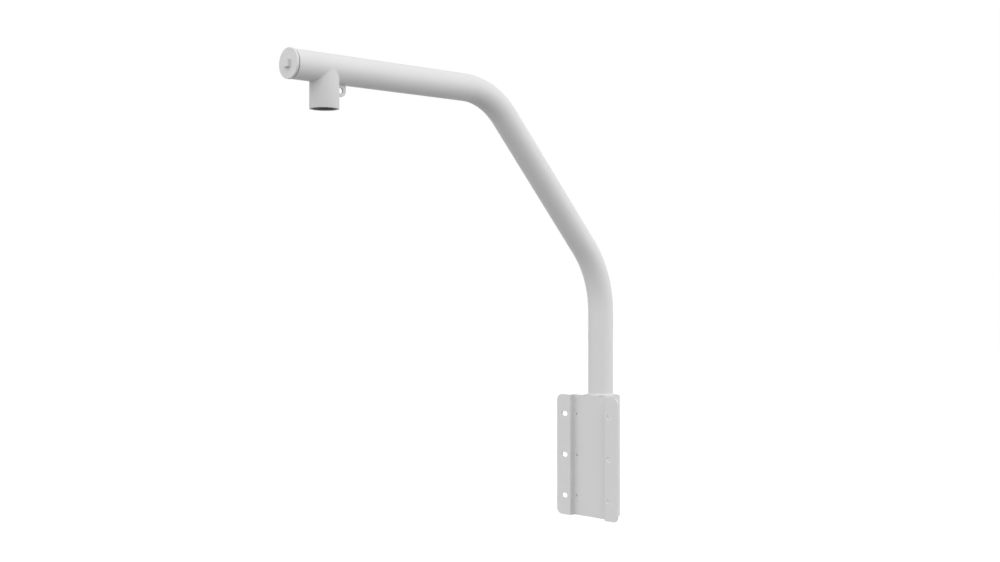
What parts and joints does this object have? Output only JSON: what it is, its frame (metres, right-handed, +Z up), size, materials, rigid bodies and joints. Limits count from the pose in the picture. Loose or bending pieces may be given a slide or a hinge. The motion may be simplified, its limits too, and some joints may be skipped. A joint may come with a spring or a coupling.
{
  "type": "camera wall bracket",
  "caption": "Parapet bracket: folded mounting plate, bent tube arm and a threaded spout for a pendant camera.",
  "frame": {"origin": "centre of the six wall slots, on the flanges' wall face", "axes": "+Z up along the plate and the tube's foot, -Y out of the wall face, the way the arm reaches"},
  "size_m": [0.196, 0.9637, 1.0296],
  "materials": {
    "powder_coat": "satin",
    "gasket_rubber": "matte"
  },
  "bodies": {
    "root": {"mounting_plate": "powder_coat", "back_channel": "powder_coat", "arm_tube": "powder_coat", "foot_weld": "powder_coat", "channel_welds": "powder_coat", "camera_spout": "powder_coat", "safety_lug": "powder_coat", "lug_welds": "powder_coat", "end_plug": "powder_coat", "plug_gasket": "gasket_rubber"}
  },
  "joints": []
}
